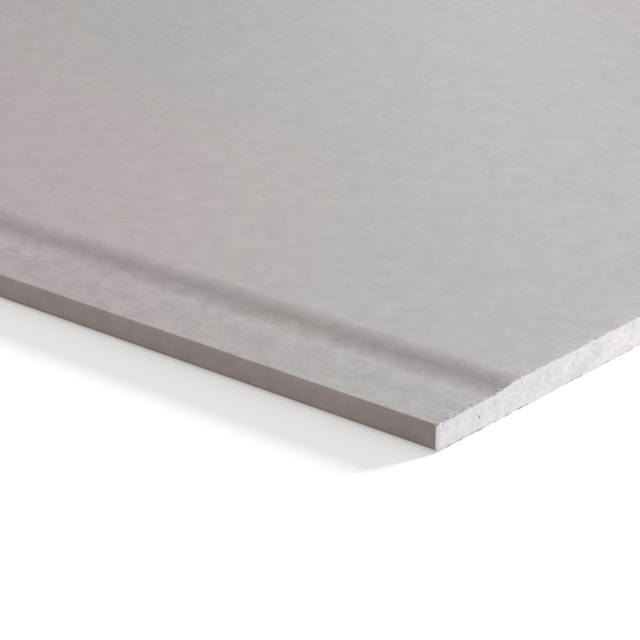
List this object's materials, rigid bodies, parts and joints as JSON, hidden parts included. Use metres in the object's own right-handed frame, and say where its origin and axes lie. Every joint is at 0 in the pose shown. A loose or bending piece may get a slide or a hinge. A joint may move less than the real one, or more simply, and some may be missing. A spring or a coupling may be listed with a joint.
{
  "type": "drywall sheet",
  "caption": "Flat gypsum board with smooth grey face paper, tapered paper-wrapped long edges and square-cut ends, for lining walls and ceilings.",
  "frame": {"origin": "middle of the back, on the surface that the sheet lies on", "axes": "+X along the length, +Y across the width, +Z out of the face"},
  "size_m": [2.4384, 1.2192, 0.0127],
  "materials": {
    "gypsum": "matt, fine-pored",
    "grey_face_paper": "matt, smooth",
    "brown_back_paper": "matt, fibrous"
  },
  "bodies": {
    "root": {"gypsum_core": "gypsum", "face_paper": "grey_face_paper", "back_paper": "brown_back_paper"}
  },
  "joints": []
}
